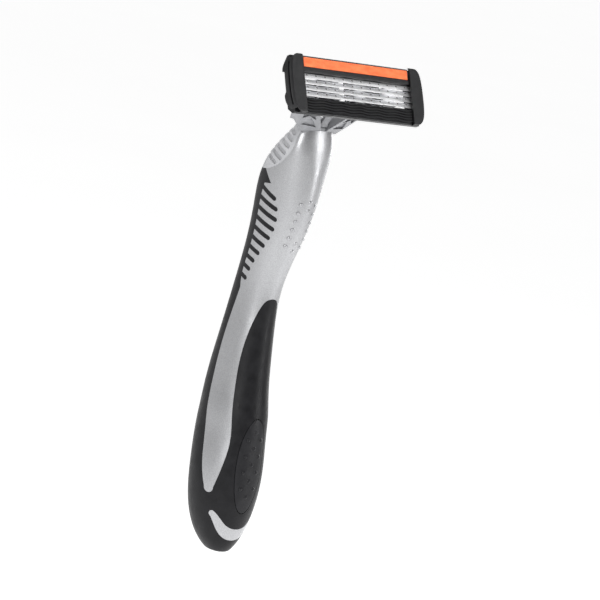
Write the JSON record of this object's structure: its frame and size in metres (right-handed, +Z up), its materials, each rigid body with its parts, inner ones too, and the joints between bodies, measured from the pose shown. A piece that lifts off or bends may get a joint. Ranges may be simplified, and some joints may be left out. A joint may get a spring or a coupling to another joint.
{
  "type": "cartridge razor",
  "caption": "Wet razor with a rubber-gripped moulded handle and a sprung, pivoting blade cartridge on a forked neck that pulls off the handle.",
  "frame": {"origin": "middle of the neck seam, where the fork of the head plugs into the handle", "axes": "+Z up the handle towards the head, -Y towards the shaving side, +X along the blades"},
  "size_m": [0.041, 0.0348, 0.1286],
  "materials": {
    "silver": "pearl silver, satin gloss",
    "grip_rubber": "satin",
    "pad_rubber": "matte",
    "rest_plastic": "matte",
    "fork_plastic": "satin",
    "black_plastic": "satin",
    "strip": "waxy",
    "guard_rubber": "matte",
    "blade_steel": "fine ground",
    "support_steel": "rolled"
  },
  "bodies": {
    "handle": {"handle_shell": "silver", "rubber_grip": "grip_rubber", "thumb_pad": "pad_rubber", "finger_rest": "rest_plastic"},
    "fork": {"yoke": "fork_plastic"},
    "tongue": {"return_tongue": "fork_plastic"},
    "cartridge": {"cartridge_frame": "black_plastic", "cap_bar": "black_plastic", "end_cap_left": "black_plastic", "end_cap_right": "black_plastic", "lube_strip": "strip", "guard_fins": "guard_rubber", "blade_spring_1": "black_plastic", "blade_spring_2": "black_plastic", "blade_spring_3": "black_plastic", "blade_spring_4": "black_plastic"},
    "blade_unit_1": {"blade_1": "blade_steel", "blade_support_1": "support_steel"},
    "blade_unit_2": {"blade_2": "blade_steel", "blade_support_2": "support_steel"},
    "blade_unit_3": {"blade_3": "blade_steel", "blade_support_3": "support_steel"},
    "blade_unit_4": {"blade_4": "blade_steel", "blade_support_4": "support_steel"}
  },
  "joints": [
    {"name": "head_release", "type": "slide", "parent": "handle", "child": "fork", "axis": [0, 0, 1], "range_m": [0, 0.012]},
    {"name": "tongue_flex", "type": "hinge", "parent": "fork", "child": "tongue", "pos_m": [0, -0.00675, 0.00175], "axis": [1, 0, 0], "range_deg": [-16, 0]},
    {"name": "cartridge_pivot", "type": "hinge", "parent": "fork", "child": "cartridge", "pos_m": [0, -0.0118, 0.0098], "axis": [1, 0, 0], "range_deg": [0, 38], "stiffness_Nm_per_rad": 0.005, "springref_deg": -6.88},
    {"name": "blade_1_float", "type": "slide", "parent": "cartridge", "child": "blade_unit_1", "axis": [0, 0.8918, -0.4524], "range_m": [0, 0.0004], "stiffness_N_per_m": 400, "springref_m": -0.0002, "deforming": ["blade_spring_1"]},
    {"name": "blade_2_float", "type": "slide", "parent": "cartridge", "child": "blade_unit_2", "axis": [0, 0.8918, -0.4524], "range_m": [0, 0.0004], "stiffness_N_per_m": 400, "springref_m": -0.0002, "deforming": ["blade_spring_2"]},
    {"name": "blade_3_float", "type": "slide", "parent": "cartridge", "child": "blade_unit_3", "axis": [0, 0.8918, -0.4524], "range_m": [0, 0.0004], "stiffness_N_per_m": 400, "springref_m": -0.0002, "deforming": ["blade_spring_3"]},
    {"name": "blade_4_float", "type": "slide", "parent": "cartridge", "child": "blade_unit_4", "axis": [0, 0.8918, -0.4524], "range_m": [0, 0.0004], "stiffness_N_per_m": 400, "springref_m": -0.0002, "deforming": ["blade_spring_4"]}
  ],
  "couplings": [
    {"joint": "tongue_flex", "follows": "cartridge_pivot", "ratio": -0.41}
  ]
}
